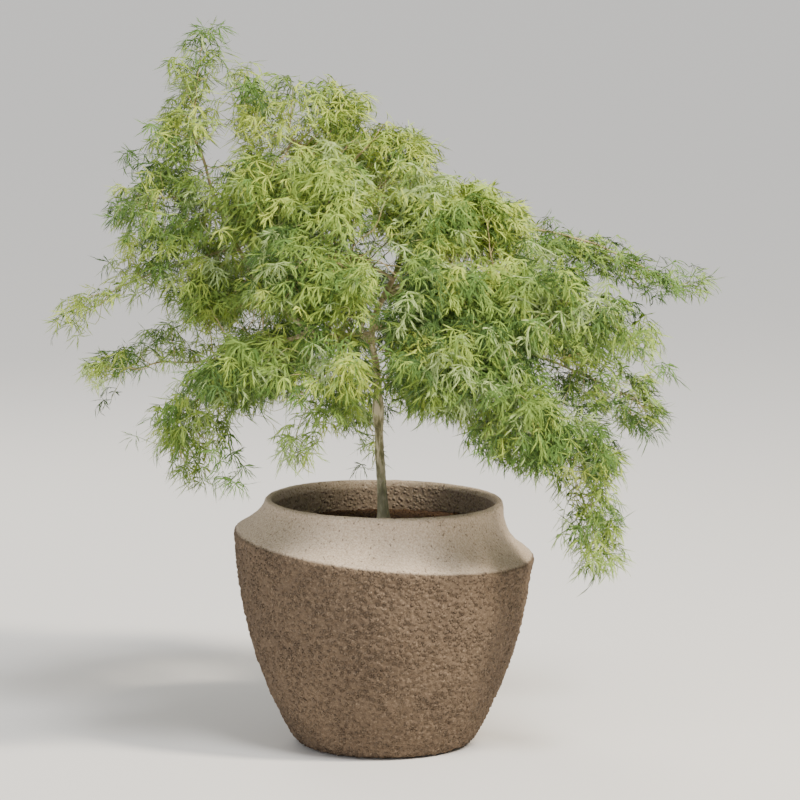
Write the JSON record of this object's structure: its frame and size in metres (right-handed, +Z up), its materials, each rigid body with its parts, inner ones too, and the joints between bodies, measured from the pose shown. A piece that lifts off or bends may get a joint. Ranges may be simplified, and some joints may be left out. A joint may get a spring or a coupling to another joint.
{
  "type": "potted japanese maple",
  "caption": "Laceleaf japanese maple with a low, wide crown of finely cut green leaves on a slim leaning trunk, planted in a round-shouldered gritty stoneware planter.",
  "frame": {"origin": "middle of the planter's flat underside, on the ground", "axes": "+Z up along the planter's axis; +X to the side where the crown reaches lowest, -X to the side of the tall shoot; -Y the front"},
  "size_m": [1.2506, 0.8478, 1.3599],
  "materials": {
    "planter": "unglazed, gritty, sanded shoulder",
    "soil": "rough, crumbled",
    "bark": "matt, finely fissured",
    "leaf": "satin"
  },
  "bodies": {
    "root": {"planter": "planter", "soil": "soil", "trunk": "bark", "left_main": "bark", "left_low_bough": "bark", "left_arm_bough": "bark", "left_upper_bough": "bark", "dome_bough": "bark", "right_back_bough": "bark", "right_front_bough": "bark", "right_low_bough": "bark", "right_fall_bough": "bark", "right_back_low_bough": "bark", "front_left_bough": "bark", "front_low_bough": "bark", "front_upper_bough": "bark", "back_left_bough": "bark", "back_middle_bough": "bark", "back_right_bough": "bark", "foliage_shoot_tip": "leaf", "foliage_shoot_middle": "leaf", "foliage_left_upper": "leaf", "foliage_left_shoulder": "leaf", "foliage_left_tip": "leaf", "foliage_left_inner": "leaf", "foliage_left_low_tip": "leaf", "foliage_front_left_tip": "leaf", "foliage_front_left": "leaf", "foliage_front_left_hang": "leaf", "foliage_front_hang": "leaf", "foliage_front_low": "leaf", "foliage_dome_left_top": "leaf", "foliage_dome_top": "leaf", "foliage_dome_top_right": "leaf", "foliage_dome_left": "leaf", "foliage_dome_front": "leaf", "foliage_front_upper": "leaf", "foliage_dome_right": "leaf", "foliage_front_middle": "leaf", "foliage_right_upper": "leaf", "foliage_right_back_upper": "leaf", "foliage_right_back_tip": "leaf", "foliage_right_front_upper": "leaf", "foliage_right_front_tip": "leaf", "foliage_right_middle": "leaf", "foliage_right_middle_back": "leaf", "foliage_right_low": "leaf", "foliage_right_low_outer": "leaf", "foliage_right_fall_top": "leaf", "foliage_right_fall_tip": "leaf", "foliage_right_back_low": "leaf", "foliage_right_back_low_tip": "leaf", "foliage_back_top": "leaf", "foliage_back_left_top": "leaf", "foliage_back_right_top": "leaf", "foliage_back_left": "leaf", "foliage_back_middle": "leaf", "foliage_back_right": "leaf", "foliage_back_low_left": "leaf", "foliage_back_low": "leaf"}
  },
  "joints": []
}
